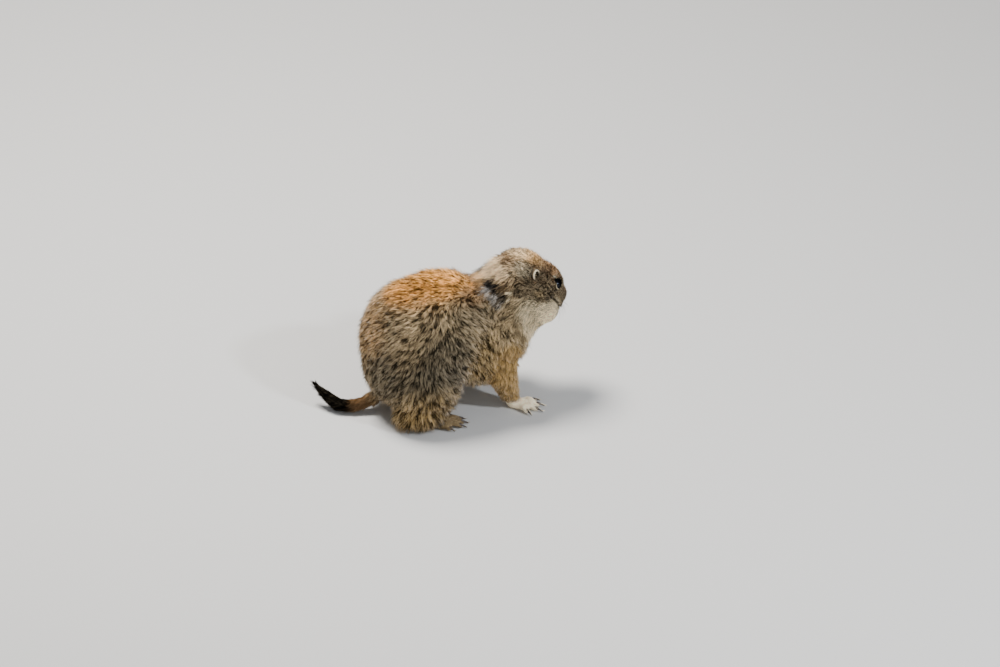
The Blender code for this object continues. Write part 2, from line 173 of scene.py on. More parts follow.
# The skin is one closed surface a coat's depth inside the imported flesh.
skinSizes = {"grow": 0.0004, "voxel": 0.0008, "smoothing": 8, "eyeFill": 0.0056}
fleshNodes = ["torso", "neck", "head", "foreleg_right", "foreleg_left", "hindleg_right", "hindleg_left",
              "forepaw_right", "forepaw_left", "hindfoot_right", "hindfoot_left", "tail_base", "tail_tip"]
families = ["torso", "neck", "head", "foreleg", "hindleg", "forepaw", "hindfoot", "tail"]
eyes = {"at": (0.014, 0.0151, 0.0052), "axis": (0.25, 0.82, 0.5), "tilt": 20, "radius": 0.0054,
        "half": 0.0054, "height": 0.0044, "lid": 0.0006, "lidWidth": 0.0012}
mouth = {"middle": (0.012, 0, -0.012), "turn": 76, "rise": 0.3, "groove": 0.0014, "width": 0.00055,
         "lip": 0.0004, "cleft": 0.0006, "reach": (0.014, 0.038)}


# An eye's centre, the way it looks, and the long and the tall way of its opening.
def eyeFacts(side):
    turn = headFrame.to_3x3()
    centre = headFrame @ sided(eyes["at"], side)
    axis = (turn @ sided(eyes["axis"], side)).normalized()
    front = turn @ Vector((1, 0, 0))
    forward = (front - axis * front.dot(axis)).normalized()
    upward = axis.cross(forward) * -side
    tilt = math.radians(eyes["tilt"])
    longWay = forward * math.cos(tilt) - upward * math.sin(tilt)
    tallWay = upward * math.cos(tilt) + forward * math.sin(tilt)
    return centre, axis, longWay, tallWay


def joinedFlesh():
    copies = []
    for name in fleshNodes:
        piece = copied(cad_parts[name])
        piece.parent = None
        for key in list(piece.keys()):
            del piece[key]
        merger = bmesh.new()
        merger.from_mesh(piece.data)
        bmesh.ops.remove_doubles(merger, verts=merger.verts, dist=1e-6)
        merger.normal_update()
        for vert in merger.verts:
            vert.co += vert.normal * skinSizes["grow"]
        merger.to_mesh(piece.data)
        merger.free()
        copies.append(piece)
    for side in sides.values():
        selectOnly()
        bpy.ops.mesh.primitive_uv_sphere_add(segments=32, ring_count=20, radius=skinSizes["eyeFill"],
                                             location=eyeFacts(side)[0])
        copies.append(bpy.context.active_object)
    selectOnly(*copies)
    bpy.ops.object.join()
    piece = bpy.context.active_object
    piece.name = "skin"
    return piece


def blendedSkin():
    piece = joinedFlesh()
    blend(piece, skinSizes["voxel"], skinSizes["smoothing"])
    bpy.ops.object.transform_apply(location=True, rotation=True, scale=True)
    return piece


# Averages values between neighbouring points, a number of rounds.
def spread(values, edges, rounds):
    count = np.maximum(np.bincount(edges.ravel(), minlength=len(values)), 1)
    columns = values.astype(float).reshape(len(values), -1)
    for _ in range(rounds):
        for column in range(columns.shape[1]):
            line = columns[:, column]
            total = np.bincount(edges[:, 0], line[edges[:, 1]], len(line))
            total += np.bincount(edges[:, 1], line[edges[:, 0]], len(line))
            columns[:, column] = 0.5 * line + 0.5 * total / count
    return columns.reshape(values.shape)


def nearestNode(points):
    tree = KDTree(sum(len(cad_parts[name].data.vertices) for name in fleshNodes))
    owners = []
    for index, name in enumerate(fleshNodes):
        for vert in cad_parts[name].data.vertices:
            tree.insert(vert.co, len(owners))
            owners.append(index)
    tree.balance()
    owners = np.array(owners)
    return owners[[tree.find(point)[1] for point in points]]


# Coat by family: depth over the skin, hair length, hair width, and how thickly the hairs stand.
coatSizes = {
    "torso": (0.0048, 0.0095, 0.00052, 1.6),
    "neck": (0.0048, 0.0105, 0.00052, 1.8),
    "head": (0.0034, 0.006, 0.0004, 3.0),
    "foreleg": (0.003, 0.0075, 0.00044, 2.2),
    "hindleg": (0.0046, 0.0115, 0.00052, 1.8),
    "forepaw": (0.0004, 0.0022, 0.0003, 4.0),
    "hindfoot": (0.0004, 0.0024, 0.0003, 4.0),
    "tail": (0.0008, 0.007, 0.0004, 2.6),
}
muzzleCoat = (0.001, 0.0024, 0.00028, 5.0)


def shareOf(shares, name):
    return shares[:, families.index(name)]


# How much of each family a point belongs to, softly over the borders.
def familyShares(nodes, edges, rounds):
    kinds = np.array([families.index(name.split("_")[0]) for name in fleshNodes])[nodes]
    return spread(np.eye(len(families))[kinds], edges, rounds)


def coatAt(points, shares):
    sizes = shares @ np.array([coatSizes[name] for name in families])
    muzzle = smoothStep(-0.006, 0.034, toHead(points)[:, 0]) * shareOf(shares, "head")
    sizes = mixed(sizes, np.array(muzzleCoat), muzzle)
    wrist = shareOf(shares, "foreleg") * (1 - smoothStep(0.008, 0.045, points[:, 2]))
    sizes[:, 0] *= 1 - 0.65 * wrist
    sizes[:, 1] *= 1 - 0.4 * wrist
    fringe = shareOf(shares, "hindleg") * (1 - smoothStep(0.012, 0.03, points[:, 2]))
    sizes[:, 0] *= 1 - 0.35 * fringe
    sizes[:, 1] *= 1 + 0.3 * fringe
    return sizes


# Markings are soft brushes over a base colour, the same on skin and coat. Some of them are painted light
# and shade.
tones = {
    "rustAndRimLight": (206, 142, 58), "gold": (139, 112, 62), "side": (154, 133, 99), "dark": (88, 80, 64),
    "buff": (186, 160, 116), "cream": (252, 236, 202), "pale": (248, 227, 184), "tan": (182, 143, 90),
    "paintedNapeLight": (255, 224, 176), "umber": (104, 82, 60), "redBrown": (122, 92, 62), "olive": (110, 95, 72),
    "smoke": (84, 72, 54), "dusk": (36, 34, 34), "silver": (208, 203, 196), "black": (8, 7, 6),
    "tawny": (180, 142, 76), "brown": (90, 64, 38), "foot": (122, 104, 76), "ash": (162, 149, 123),
}
tones = {name: linear(colour) for name, colour in tones.items()}

# Each brush: middle, half sizes, tone, strength, all mirrored left and right. The body's own first.
bodyBrushes = [
    # The rust saddle along the back is partly the coat's own colour and partly painted rim light.
    ((-0.012, 0, 0.148), (0.098, 0.05, 0.038), "rustAndRimLight", 0.5),
    ((0, 0, 0.152), (0.078, 0.038, 0.021), "rustAndRimLight", 0.45),
    ((-0.076, 0, 0.1), (0.02, 0.05, 0.05), "tan", 0.85),
    ((-0.002, 0.055, 0.074), (0.034, 0.024, 0.034), "dark", 0.85),
    ((-0.022, 0.06, 0.054), (0.038, 0.022, 0.022), "dark", 0.85),
    ((-0.064, 0.034, 0.052), (0.026, 0.03, 0.03), "dark", 0.85),
    ((-0.018, 0.058, 0.006), (0.054, 0.034, 0.042), "gold", 0.85),
    ((0.034, 0.045, 0.058), (0.018, 0.024, 0.036), "gold", 0.7),
    ((0.056, 0.04, 0.088), (0.02, 0.022, 0.024), "buff", 0.2),
    ((0, 0, 0.02), (0.08, 0.03, 0.016), "buff", 0.8),
    ((0.072, 0, 0.062), (0.022, 0.026, 0.03), "buff", 0.6),
    ((0.082, 0.014, 0.094), (0.02, 0.026, 0.026), "pale", 0.95),
    # Painted light: the nape is painted pale, as where sun falls on the top of the neck.
    ((0.055, 0, 0.145), (0.038, 0.028, 0.018), "paintedNapeLight", 0.9),
    ((0.071, 0.024, 0.127), (0.014, 0.012, 0.01), "smoke", 0.85),
    ((0.022, 0.036, 0.117), (0.024, 0.02, 0.02), "dark", 0.5),
    ((0.027, 0.022, 0.125), (0.013, 0.016, 0.011), "redBrown", 0.7),
    ((0.04, 0.012, 0.1315), (0.005, 0.006, 0.005), "dusk", 0.95),
    ((0.046, 0.018, 0.129), (0.008, 0.01, 0.008), "dusk", 1.0),
    ((0.052, 0.027, 0.121), (0.008, 0.009, 0.007), "dusk", 0.95),
    ((0.0385, 0.019, 0.126), (0.003, 0.006, 0.0045), "silver", 0.8),
    ((0.0435, 0.026, 0.1205), (0.0032, 0.006, 0.0045), "silver", 0.8),
    ((0.049, 0.033, 0.1145), (0.0035, 0.007, 0.0045), "silver", 0.55),
    ((0.059, 0.029, 0.1215), (0.003, 0.006, 0.0045), "pale", 0.7),
]
headBrushes = [
    ((-0.026, 0, 0.012), (0.026, 0.018, 0.012), "tan", 0.95),
    # Painted light: the back of the crown is painted pale, like the sunlit nape below it.
    ((-0.042, 0, 0.012), (0.018, 0.018, 0.012), "paintedNapeLight", 0.6),
    ((0.004, 0, 0.017), (0.018, 0.016, 0.009), "redBrown", 0.9),
    ((0.03, 0, 0.008), (0.018, 0.012, 0.01), "umber", 0.85),
    ((-0.032, 0.018, 0), (0.012, 0.01, 0.01), "ash", 0.7),
    ((-0.021, 0.022, -0.007), (0.005, 0.008, 0.005), "smoke", 0.8),
    ((-0.003, 0.027, -0.011), (0.006, 0.006, 0.004), "buff", 0.55),
    ((-0.006, 0.017, 0.009), (0.01, 0.005, 0.004), "umber", 0.7),
    ((-0.0105, 0.0235, -0.004), (0.0022, 0.005, 0.002), "ash", 0.45),
    ((0.024, 0.012, -0.024), (0.024, 0.02, 0.0185), "pale", 0.95),
    ((0.004, 0.012, -0.038), (0.026, 0.026, 0.022), "pale", 0.9),
    ((0.038, 0, -0.019), (0.01, 0.012, 0.007), "cream", 0.8),
    ((0.036, 0.01, -0.006), (0.012, 0.009, 0.006), "buff", 0.1),
    # Painted shade: dark marks along the mouth's corner and line.
    ((0.015, 0.0225, -0.0068), (0.005, 0.006, 0.0022), "dusk", 0.85),
    ((0.0095, 0.025, -0.01), (0.004, 0.006, 0.0016), "dusk", 0.7),
    ((0.0234, 0.0178, -0.0072), (0.005, 0.005, 0.0012), "dusk", 0.85),
    ((0.0301, 0.0162, -0.0081), (0.005, 0.005, 0.0012), "dusk", 0.85),
    ((0.0402, 0.0118, -0.0094), (0.005, 0.005, 0.0012), "dusk", 0.8),
    # A painted highlight: a cream spot on the upper lid, above and behind the eye.
    ((0.0075, 0.017, 0.0104), (0.0028, 0.004, 0.0018), "cream", 0.75),
]
# How flecked the coat is, with dark and pale locks, by family. The throat is plainer, and the nape is made
# plainer where it faces up, as painted light.
flecks = {"torso": 1.0, "neck": 1.0, "head": 0.95, "foreleg": 0.5, "hindleg": 1.0, "forepaw": 0.4,
          "hindfoot": 0.4, "tail": 0.2}


def fleckAt(points, normals, shares):
    fleck = shares @ np.array([flecks[name] for name in families])
    # Painted light: the upward-facing nape loses most of its dark locks, so it reads paler as if lit from
    # above.
    litNape = shareOf(shares, "neck") * smoothStep(0.35, 0.85, normals[:, 2])
    throat = smoothStep(0.05, 0.075, points[:, 0]) * smoothStep(0.112, 0.1, points[:, 2])
    return fleck * (1 - 0.6 * litNape) * (1 - 0.5 * throat)


def painted(colours, tone, share):
    return mixed(colours, tones[tone], share)


def brushed(colours, points, brushes):
    mirrored = points * (1, 0, 1) + np.abs(points) * (0, 1, 0)
    for middle, half, tone, strength in brushes:
        reach = np.linalg.norm((mirrored - middle) / half, axis=1)
        colours = painted(colours, tone, strength * (1 - smoothStep(0.55, 1.25, reach)))
    return colours


def markingsAndLight(points, normals, shares):
    # Partly the back's own rust and partly painted light: surfaces facing up are painted as a sunlit rim.
    colours = painted(tones["side"], "rustAndRimLight", smoothStep(0.78, 0.98, normals[:, 2]))
    colours = painted(colours, "buff", smoothStep(-0.45, -0.9, normals[:, 2]))
    colours = brushed(colours, points, bodyBrushes)
    colours = painted(colours, "tawny", 0.75 * shareOf(shares, "foreleg"))
    face = painted(tones["olive"], "redBrown", smoothStep(0.3, 0.9, normals[:, 2]))
    colours = mixed(colours, brushed(face, toHead(points), headBrushes), shareOf(shares, "head"))
    colours = mixed(colours, tones["cream"] * 1.1, 0.9 * shareOf(shares, "forepaw"))
    colours = painted(colours, "foot", 0.9 * shareOf(shares, "hindfoot"))
    tail = shareOf(shares, "tail")
    colours = painted(colours, "brown", 0.9 * tail)
    return painted(colours, "black", smoothStep(-0.083, -0.093, points[:, 0]) * tail)


tailWay = {"root": (-0.04, 0.001, 0.024), "low": (-0.078, -0.013, -0.004), "tip": (-0.112, 0.021, 0.0215)}


# The tail's own curve: at each point the nearest place on it and the way along.
def alongTail(points):
    root, low, tip = (np.array(tailWay[key]) + origin for key in ("root", "low", "tip"))
    share = np.linspace(0, 1, 41)[:, None]
    curve = root * (1 - share) ** 2 + low * 2 * share * (1 - share) + tip * share ** 2
    ways = unit((low - root) * (1 - share) + (tip - low) * share)
    nearest = np.linalg.norm(points[:, None] - curve[None], axis=2).argmin(axis=1)
    return curve[nearest], ways[nearest]


# The coat lies back along the spine, fans down the sides and the haunch, and points away from the nose.
def lieOf(points, normals, shares):
    x, z = points[:, 0], points[:, 2]
    none = np.zeros(len(points))
    rear = smoothStep(-0.002, -0.048, x)
    fore = smoothStep(-0.006, 0.014, x) * (1 - smoothStep(0.028, 0.046, x))
    sweep = 0.65 * fore - rear * (0.55 + 2.0 * smoothStep(0.055, 0.115, z))
    sweep = sweep + 0.2 * smoothStep(0.045, 0.06, x)
    lie = np.stack([sweep, none, none - 1], axis=1)
    spine = np.stack([none - 1, none, none - 0.3], axis=1)
    lie = mixed(lie, spine, smoothStep(0.62, 0.92, np.abs(normals[:, 2])))
    fan = np.stack([((x + 0.026) * 28).clip(-1.1, 0.9), none, none - 1], axis=1)
    lie = mixed(lie, fan, shareOf(shares, "hindleg"))
    lie = mixed(lie, none[:, None] + (-0.2, 0, -1.0), shareOf(shares, "foreleg"))
    fromNose = unit(toHead(points) - (0.05, 0, -0.002)) @ headTurn.T
    lie = mixed(unit(lie), fromNose, 0.6 * shareOf(shares, "neck"))
    lie = mixed(lie, fromNose, shareOf(shares, "head"))
    paws = shareOf(shares, "forepaw") + shareOf(shares, "hindfoot")
    lie = mixed(lie, none[:, None] + (1.0, 0, -0.1), paws)
    return mixed(lie, alongTail(points)[1], shareOf(shares, "tail"))


# The coat is solid tapered tufts made in arrays, gathered in locks of a few each. None goes further
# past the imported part's box than "past".
coatLook = {"sink": 0.0004, "perLock": 7, "gather": (0.35, 0.85), "lockSwing": 0.3, "stray": 0.14,
            "varied": 0.24, "softNormals": 0.28, "patch": 0.003, "guardShare": 0.12, "past": 0.0035}
paleTip = linear((224, 200, 160))


def readTriangles(mesh):
    mesh.calc_loop_triangles()
    return [readRows(mesh.loop_triangles, key, 3, np.int32) for key in ("vertices", "loops")]


def readUnwrap(mesh):
    return readRows(mesh.uv_layers["OFBake"].uv, "vector", 2)


# Roots scattered over some triangles, evenly by area and density.
def scatter(ground, chosen, count, dice):
    corners = ground["triangles"][chosen]
    spots = ground["points"][corners]
    area = np.linalg.norm(np.cross(spots[:, 1] - spots[:, 0], spots[:, 2] - spots[:, 0]), axis=1)
    area = area * ground["sizes"][corners][:, :, 3].mean(axis=1)
    heap = np.cumsum(area)
    picks = (np.arange(count) + dice.random(count)) / count * heap[-1]
    face = np.minimum(np.searchsorted(heap, picks), len(heap) - 1)
    first, second = dice.random(count), dice.random(count)
    over = first + second > 1
    first[over], second[over] = 1 - first[over], 1 - second[over]
    weights = np.stack([1 - first - second, first, second], axis=1)[:, :, None]
    roots = {}
    for key in ("points", "normals", "sizes", "lie", "colours"):
        roots[key] = (ground[key][corners[face]] * weights).sum(axis=1)
    roots["fleck"] = (ground["fleck"][corners[face]] * weights[:, :, 0]).sum(axis=1)
    roots["unwrap"] = (ground["unwrap"][ground["loops"][chosen][face]] * weights).sum(axis=1)
    roots["normals"] = unit(roots["normals"])
    return roots


# The lock that each tuft belongs to, as the number of its leading tuft.
def lockOf(spots, perLock, dice):
    leaders = dice.choice(len(spots), max(4, len(spots) // perLock), replace=False)
    tree = KDTree(len(leaders))
    for index, leader in enumerate(leaders):
        tree.insert(spots[leader], index)
    tree.balance()
    return leaders[[tree.find(spot)[1] for spot in spots]]


# Each lock is darker, paler or plain, as far as the coat is flecked there.
def lockColours(roots, lock, dice):
    count = len(lock)
    chance = dice.random(count)[lock] * 0.8 + dice.random(count) * 0.2
    fleck = roots["fleck"]
    dark = smoothStep(0.5, 0.4, chance) * fleck * 0.95
    pale = smoothStep(0.58, 0.7, chance) * fleck * 0.85
    shade = 1 + 0.14 * dice.normal(0, 1, count)[lock] + 0.08 * dice.normal(0, 1, count)
    colours = roots["colours"] * shade.clip(0.6, 1.5)[:, None]
    colours = mixed(colours, colours * 0.07, dark)
    colours = mixed(colours, colours * 1.8 + paleTip * 0.14, pale)
    return colours * np.minimum(1, 1 / colours.max(axis=1, keepdims=True))


def growCoat(name, ground, chosen, count, slotName, seed, perLock=coatLook["perLock"]):
    dice = np.random.default_rng(seed)
    roots = scatter(ground, chosen, count, dice)
    base, normal, sizes = roots["points"], roots["normals"], roots["sizes"]
    lock = lockOf(base, perLock, dice)
    guard = dice.random(count) < coatLook["guardShare"]
    lie = unit(roots["lie"] - normal * (roots["lie"] * normal).sum(axis=1, keepdims=True))
    swing = dice.normal(0, coatLook["lockSwing"], count)[lock] + dice.normal(0, coatLook["stray"], count)
    lie = unit(lie + np.cross(lie, normal) * swing[:, None])
    across = np.cross(lie, normal)
    varied = 1 + dice.normal(0, coatLook["varied"], count).clip(-0.5, 0.5)
    length = (sizes[:, 1] * varied * np.where(guard, 1.15, 1.0))[:, None]
    lift = dice.uniform(0.7, 1.1, count)[lock] * dice.uniform(0.85, 1.1, count)
    rise = (sizes[:, 0] * (lift * np.where(guard, 1.75, 1.0)))[:, None]
    run = np.sqrt(np.maximum(length ** 2 - rise ** 2, (0.5 * length) ** 2))
    tips = base + lie * run + normal * rise
    pull = dice.uniform(*coatLook["gather"], count) * ~guard
    tips += (tips[lock] - tips) * pull[:, None]
    middle = (base + lie * run * 0.36 + normal * rise * 0.66) * 0.75 + (base + tips) * 0.125
    width = (sizes[:, 2] * dice.uniform(0.75, 1.25, count) * np.where(guard, 0.5, 1.0))[:, None] * 0.5
    thick = width * 1.2
    body = np.stack([base - normal * coatLook["sink"], middle + across * width, middle - across * width,
                     middle + normal * thick, tips], axis=1)
    low, high = np.array(cadBox)
    body = body.clip(low - coatLook["past"], high + coatLook["past"])
    body[:, :, 2] = np.maximum(body[:, :, 2], 0.0001)
    faces = np.array([(2, 1, 0), (3, 2, 0), (1, 3, 0), (1, 2, 4), (2, 3, 4), (3, 1, 4)])
    corners = (faces[None] + (np.arange(count) * 5)[:, None, None]).reshape(-1)
    mesh = bpy.data.meshes.new(name)
    mesh.vertices.add(count * 5)
    mesh.vertices.foreach_set("co", body.ravel())
    mesh.loops.add(len(corners))
    mesh.loops.foreach_set("vertex_index", corners.astype(np.int32))
    mesh.polygons.add(len(corners) // 3)
    mesh.polygons.foreach_set("loop_start", np.arange(0, len(corners), 3, dtype=np.int32))
    mesh.polygons.foreach_set("use_smooth", np.ones(len(corners) // 3, dtype=bool))
    mesh.update(calc_edges=True)
    least = 0.55 * smoothStep(0.006, 0.0022, sizes[:, 1])[:, None]
    addValues(mesh, "along", (least + (1 - least) * (0, 0.5, 0.5, 0.5, 1.0)).ravel())
    addColours(mesh, np.repeat(lockColours(roots, lock, dice), 5, axis=0))
    layer = mesh.uv_layers.new(name="OFBake")
    spot = np.array([(0, -1), (-1, -0.2), (1, -0.2), (0, 0.2), (0, 1)]) * coatLook["patch"] / 2
    flat = np.repeat(roots["unwrap"], 5, axis=0) + np.tile(spot, (count, 1))
    layer.uv.foreach_set("vector", flat[corners].clip(0, 1).ravel())
    piece = placed(name, mesh)
    softNormals(mesh, np.repeat(normal, 5, axis=0))
    piece.data.materials.append(furPaint)
    finished(piece)


def softNormals(mesh, ground):
    own = readNormals(mesh)
    share = coatLook["softNormals"]
    mesh.normals_split_custom_set_from_vertices(unit(own * (1 - share) + ground * share).tolist())


def addValues(mesh, name, values):
    layer = mesh.attributes.new(name, "FLOAT", "POINT")
    layer.data.foreach_set("value", np.asarray(values, dtype=np.float32))


def addColours(mesh, colours):
    layer = mesh.attributes.new("markingsAndLight", "FLOAT_COLOR", "POINT")
    rows = np.concatenate([colours.clip(0, 1), np.ones((len(colours), 1))], axis=1)
    layer.data.foreach_set("color", rows.astype(np.float32).ravel())


# Hair is dark at its root and light at its tip, and dark hair shines less.
hairLook = {"root": 0.05, "tip": 1.45, "shine": 0.75}


def hairGroup():
    group = bpy.data.node_groups.new("hairBands", "ShaderNodeTree")
    for label in ("Root shade", "Tip shade"):
        group.interface.new_socket(name=label, in_out="INPUT", socket_type="NodeSocketFloat")
    group.interface.new_socket(name="Colour", in_out="OUTPUT", socket_type="NodeSocketColor")
    group.interface.new_socket(name="Shine", in_out="OUTPUT", socket_type="NodeSocketFloat")
    tree = group.nodes
    given = tree.new("NodeGroupInput")
    result = tree.new("NodeGroupOutput")
    marks, along = tree.new("ShaderNodeAttribute"), tree.new("ShaderNodeAttribute")
    marks.attribute_name = "markingsAndLight"
    along.attribute_name = "along"
    shade = tree.new("ShaderNodeMapRange")
    shade.interpolation_type = "SMOOTHSTEP"
    shade.inputs["From Max"].default_value = 0.95
    group.links.new(along.outputs["Fac"], shade.inputs["Value"])
    group.links.new(given.outputs["Root shade"], shade.inputs["To Min"])
    group.links.new(given.outputs["Tip shade"], shade.inputs["To Max"])
    banded = tree.new("ShaderNodeMix")
    banded.data_type = "RGBA"
    banded.blend_type = "MULTIPLY"
    banded.inputs[0].default_value = 1.0
    group.links.new(marks.outputs["Color"], banded.inputs[6])
    group.links.new(shade.outputs["Result"], banded.inputs[7])
    shine = tree.new("ShaderNodeMath")
    shine.operation = "MULTIPLY"
    shine.inputs[1].default_value = hairLook["shine"]
    group.links.new(banded.outputs[2], shine.inputs[0])
    group.links.new(banded.outputs[2], result.inputs["Colour"])
    group.links.new(shine.outputs["Value"], result.inputs["Shine"])
    return group


def hairMaterial(name, group, roughness, sheen):
    paint = plainMaterial(name, (0.8, 0.8, 0.8), roughness)
    shader = paint.node_tree.nodes["Principled BSDF"]
    bands = paint.node_tree.nodes.new("ShaderNodeGroup")
    bands.node_tree = group
    bands.inputs["Root shade"].default_value = hairLook["root"]
    bands.inputs["Tip shade"].default_value = hairLook["tip"]
    paint.node_tree.links.new(bands.outputs["Colour"], shader.inputs["Base Color"])
    paint.node_tree.links.new(bands.outputs["Shine"], shader.inputs["Specular IOR Level"])
    if sheen:
        paint.node_tree.links.new(bands.outputs["Shine"], shader.inputs["Sheen Weight"])
    shader.inputs["Sheen Roughness"].default_value = 0.5
    return paint


def addGrit(paint, scale, strength, distance):
    tree = paint.node_tree
    place = tree.nodes.new("ShaderNodeTexCoord")
    grit = tree.nodes.new("ShaderNodeTexNoise")
    grit.inputs["Scale"].default_value = scale
    grit.inputs["Detail"].default_value = 3
    relief = tree.nodes.new("ShaderNodeBump")
    relief.inputs["Strength"].default_value = strength
    relief.inputs["Distance"].default_value = distance
    tree.links.new(place.outputs["Object"], grit.inputs["Vector"])
    tree.links.new(grit.outputs["Fac"], relief.inputs["Height"])
    tree.links.new(relief.outputs["Normal"], tree.nodes["Principled BSDF"].inputs["Normal"])


# Finer faces where the lids, lips and nose are shaped.
def refineFace(piece, aroundEyes, muzzle):
    selectOnly(piece)
    bpy.ops.object.mode_set(mode="EDIT")
    bpy.ops.mesh.select_mode(type="FACE")
    bpy.ops.mesh.select_all(action="DESELECT")
    bpy.ops.object.mode_set(mode="OBJECT")
    middles = readRows(piece.data.polygons, "center", 3)
    local = toHead(middles)
    chosen = (local[:, 0] > muzzle) & (np.abs(local[:, 2] + 0.009) < 0.017) & (np.abs(local[:, 1]) < 0.03)
    for side in sides.values():
        chosen |= np.linalg.norm(middles - np.array(eyeFacts(side)[0]), axis=1) < aroundEyes
    piece.data.polygons.foreach_set("select", chosen)
    bpy.ops.object.mode_set(mode="EDIT")
    bpy.ops.mesh.subdivide(number_cuts=1)
    bpy.ops.object.mode_set(mode="OBJECT")


# How far outside the almond of the lids' edge each point lies, and its distance from the eye's centre.
def lidEdge(points, side):
    centre, axis, forward, upward = (np.array(fact) for fact in eyeFacts(side))
    away = points - centre
    reach = np.linalg.norm(away, axis=1)
    along, above = away @ forward, away @ upward
    share = along / eyes["half"]
    height = eyes["height"] * (1 - 0.3 * np.clip(share, -1, 1) ** 2)
    edge = np.sqrt(share ** 2 + (above / height) ** 2)
    outside = (edge - 1) * 0.5 * (eyes["half"] + eyes["height"])
    outside[away @ axis < 0.0008] = 1.0
    return outside, reach, along, above


def shapeLids(points):
    bare = np.zeros(len(points))
    for side in sides.values():
        outside, reach = lidEdge(points, side)[:2]
        centre = np.array(eyeFacts(side)[0])
        bell = np.exp(-((outside - 0.0004) / eyes["lidWidth"]) ** 2)
        target = eyes["radius"] + 0.00012 + eyes["lid"] * bell
        target = np.where(outside < 0, eyes["radius"] - 0.0009, target)
        hold = 1 - smoothStep(0.0014, 0.004, outside)
        hold[reach > 0.0115] = 0
        moved = reach * (1 - hold) + target * hold
        points = centre + (points - centre) * (moved / np.maximum(reach, 1e-9))[:, None]
        bare = np.maximum(bare, (outside < 0.0009) * (reach < 0.0115))
    return points, bare


# The mouth's line round the muzzle, with a lip above and below it, and the cleft under the nose, with masks
# for where the hair is short and painted shade darkens them.
def shapeMouth(points, normals, headShare):
    local = toHead(points) - mouth["middle"]
    flat = np.hypot(local[:, 0], local[:, 1])
    turn = np.arctan2(local[:, 1], local[:, 0])
    above = local[:, 2] - mouth["rise"] * np.sin(turn) ** 2 * flat
    near, far = mouth["reach"]
    ends = 1 - smoothStep(math.radians(mouth["turn"] - 12), math.radians(mouth["turn"]), np.abs(turn))
    ends *= smoothStep(near - 0.004, near, flat) * (1 - smoothStep(far - 0.003, far, flat)) * headShare
    groove = np.exp(-(above / mouth["width"]) ** 2)
    lips = np.exp(-((above - 0.0013) / 0.0009) ** 2) + 0.8 * np.exp(-((above + 0.0012) / 0.0008) ** 2)
    push = ends * (mouth["lip"] * lips - mouth["groove"] * groove)
    cleft = np.exp(-(local[:, 1] / 0.0004) ** 2) * smoothStep(0.024, 0.027, local[:, 0]) * headShare
    cleft *= smoothStep(-0.0002, 0.0004, above) * (1 - smoothStep(0.0085, 0.0105, above))
    push -= mouth["cleft"] * cleft
    # A strip along the mouth where the hair is short and painted shade darkens the coat.
    shortHairAndShade = ends * np.exp(-(above / 0.0022) ** 2)
    return points + normals * push[:, None], ends * groove + cleft, shortHairAndShade


def unwrap(piece):
    while piece.data.uv_layers:
        piece.data.uv_layers.remove(piece.data.uv_layers[0])
    piece.data.uv_layers.new(name="OFBake")
    selectOnly(piece)
    bpy.ops.object.mode_set(mode="EDIT")
    bpy.ops.mesh.select_all(action="SELECT")
    bpy.ops.uv.smart_project(angle_limit=math.radians(66), island_margin=0.002)
    bpy.ops.object.mode_set(mode="OBJECT")


# Where the flesh is filled out, and how the tail is slimmed, lowered and brought forward to the photo's.
napeFill = {"at": (0.059, 0, 0.145), "half": (0.012, 0.022, 0.014), "height": 0.0046}
chinFill = {"at": (0.0375, 0, -0.0195), "half": (0.009, 0.012, 0.008), "height": 0.0045}
tailFit = {"root": (-0.045, -0.072), "slim": 0.8, "tipSlim": 0.16, "tip": (-0.09, -0.105),
           "drop": 0.0024, "dropOver": (-0.134, -0.096), "shift": 0.007, "shiftOver": (-0.09, -0.125)}
bareRings = {"eye": (0.0058, 0.0088), "nose": (0.0035, 0.009)}


def bulge(points, fill):
    return fill["height"] * np.exp(-((points - fill["at"]) ** 2 / np.array(fill["half"]) ** 2).sum(axis=1))


# The step between head and neck is evened out over the top.
def evenNeck(points, edges, shares):
    border = np.minimum(1, 4 * shareOf(shares, "head") * shareOf(shares, "neck"))
    border = spread(border, edges, 30).clip(0, 0.5) * 2 * smoothStep(0.128, 0.138, points[:, 2])
    return mixed(points, spread(points, edges, 160), border)


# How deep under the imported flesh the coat's roots are. Round the eyes and the nose they are shallow.
def rootDepth(points, sizes):
    depth = sizes[:, 0]
    for side in sides.values():
        reach = np.linalg.norm(points - np.array(eyeFacts(side)[0]), axis=1)
        depth = depth * smoothStep(*bareRings["eye"], reach)
    reach = np.linalg.norm(toHead(points) - nose["at"], axis=1)
    return depth * (0.2 + 0.8 * smoothStep(*bareRings["nose"], reach)) + skinSizes["grow"]


def slimTail(points, shares):
    share = shareOf(shares, "tail") * smoothStep(*tailFit["root"], points[:, 0])
    core = alongTail(points)[0]
    slim = tailFit["slim"] + tailFit["tipSlim"] * smoothStep(*tailFit["tip"], points[:, :1])
    points = mixed(points, core + (points - core) * slim, share)
    points[:, 2] -= tailFit["drop"] * share * smoothStep(*tailFit["dropOver"], points[:, 0])
    points[:, 0] += tailFit["shift"] * share * smoothStep(*tailFit["shiftOver"], points[:, 0])
    points[:, 2] = np.maximum(points[:, 2], 0.0)
    return points


